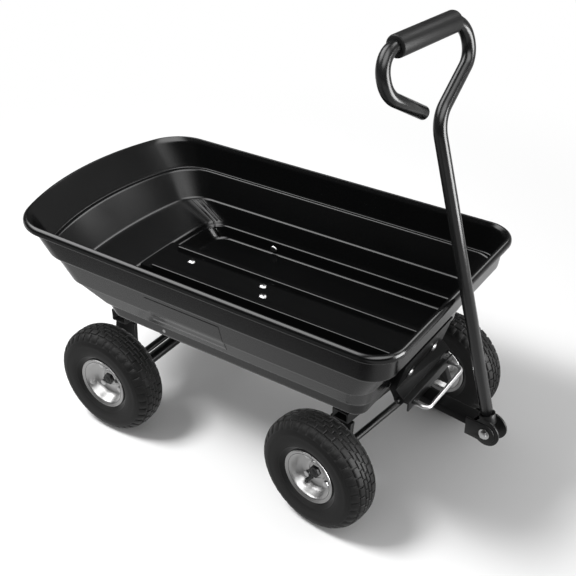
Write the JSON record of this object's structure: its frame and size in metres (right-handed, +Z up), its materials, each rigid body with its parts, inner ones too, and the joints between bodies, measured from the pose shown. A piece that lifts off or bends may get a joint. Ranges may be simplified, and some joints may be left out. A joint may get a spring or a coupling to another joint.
{
  "type": "tipping dump cart",
  "caption": "Pull-along garden cart with a deep moulded tub that tips back over its rear axle, a steered front axle, air tyres, a folding loop handle and a sprung tipping latch.",
  "frame": {"origin": "on the floor, under the middle of the cart's overall length and width", "axes": "+X forward along the cart towards the handle's clevis, +Y to the cart's left, +Z up"},
  "size_m": [1.1392, 0.587, 1.0056],
  "materials": {
    "black_plastic": "smooth moulded, glossy",
    "black_steel": "satin black powder coat",
    "zinc_steel": "bright zinc plate",
    "rim_silver": "silver paint, satin",
    "tyre_rubber": "matte block tread",
    "grip_rubber": "matte foam rubber",
    "plug_plastic": "matte"
  },
  "bodies": {
    "frame": {"spine_tube": "black_steel", "rear_crossbeam": "black_steel", "rear_leg_left": "black_steel", "rear_leg_right": "black_steel", "rear_axle": "black_steel", "rear_cross_tube": "black_steel", "rear_axle_nuts": "zinc_steel", "hinge_ears": "black_steel", "turntable": "black_steel", "king_pin": "zinc_steel", "king_pin_nut": "zinc_steel", "strike_plate": "black_steel"},
    "steering": {"steering_crossbeam": "black_steel", "front_leg_left": "black_steel", "front_leg_right": "black_steel", "front_axle": "black_steel", "front_axle_nuts": "zinc_steel", "thrust_washer": "zinc_steel", "tongue": "black_steel", "clevis_ears": "black_steel", "clevis_bolt": "zinc_steel", "clevis_nut": "zinc_steel"},
    "handle": {"handle_tube": "black_steel", "handle_end_plug": "plug_plastic", "handle_foot": "black_steel", "hand_grip": "grip_rubber"},
    "wheel_front_left": {"front_left_tyre": "tyre_rubber", "front_left_rim_outer": "rim_silver", "front_left_rim_inner": "rim_silver", "front_left_hub": "rim_silver", "front_left_bolts": "zinc_steel"},
    "wheel_front_right": {"front_right_tyre": "tyre_rubber", "front_right_rim_outer": "rim_silver", "front_right_rim_inner": "rim_silver", "front_right_hub": "rim_silver", "front_right_bolts": "zinc_steel"},
    "wheel_rear_left": {"rear_left_tyre": "tyre_rubber", "rear_left_rim_outer": "rim_silver", "rear_left_rim_inner": "rim_silver", "rear_left_hub": "rim_silver", "rear_left_bolts": "zinc_steel"},
    "wheel_rear_right": {"rear_right_tyre": "tyre_rubber", "rear_right_rim_outer": "rim_silver", "rear_right_rim_inner": "rim_silver", "rear_right_hub": "rim_silver", "rear_right_bolts": "zinc_steel"},
    "tray": {"tub": "black_plastic", "tipping_channel": "black_steel", "side_rail_left": "black_steel", "side_rail_right": "black_steel", "tub_bolts": "zinc_steel", "hinge_pin": "zinc_steel", "latch_housing": "black_steel", "housing_bolts": "zinc_steel", "latch_rod": "black_steel", "latch_spring": "zinc_steel"},
    "latch": {"latch_bar": "black_steel", "bail": "zinc_steel"}
  },
  "joints": [
    {"name": "steering_turn", "type": "hinge", "parent": "frame", "child": "steering", "pos_m": [0.29138, 0, 0.24], "axis": [0, 0, 1], "range_deg": [-10.8, 25.2]},
    {"name": "handle_fold", "type": "hinge", "parent": "steering", "child": "handle", "pos_m": [0.53774, -0.03112, 0.22], "axis": [0.1253, 0.9921, 0], "range_deg": [0, 112]},
    {"name": "front_left_wheel_spin", "type": "hinge", "parent": "steering", "child": "wheel_front_left", "pos_m": [0.32134, 0.23711, 0.13], "axis": [0.1253, 0.9921, 0], "continuous": true},
    {"name": "front_right_wheel_spin", "type": "hinge", "parent": "steering", "child": "wheel_front_right", "pos_m": [0.26143, -0.23711, 0.13], "axis": [0.1253, 0.9921, 0], "continuous": true},
    {"name": "rear_left_wheel_spin", "type": "hinge", "parent": "frame", "child": "wheel_rear_left", "pos_m": [-0.30062, 0.239, 0.13], "axis": [0, 1, 0], "continuous": true},
    {"name": "rear_right_wheel_spin", "type": "hinge", "parent": "frame", "child": "wheel_rear_right", "pos_m": [-0.30062, -0.239, 0.13], "axis": [0, 1, 0], "continuous": true},
    {"name": "tray_tip", "type": "hinge", "parent": "frame", "child": "tray", "pos_m": [-0.32062, 0, 0.298], "axis": [0, -1, 0], "range_deg": [0, 70]},
    {"name": "latch_pull", "type": "hinge", "parent": "tray", "child": "latch", "pos_m": [0.36646, 0, 0.26764], "axis": [0, -1, 0], "range_deg": [0, 25], "stiffness_Nm_per_rad": 0.6, "springref_deg": -17.19}
  ]
}
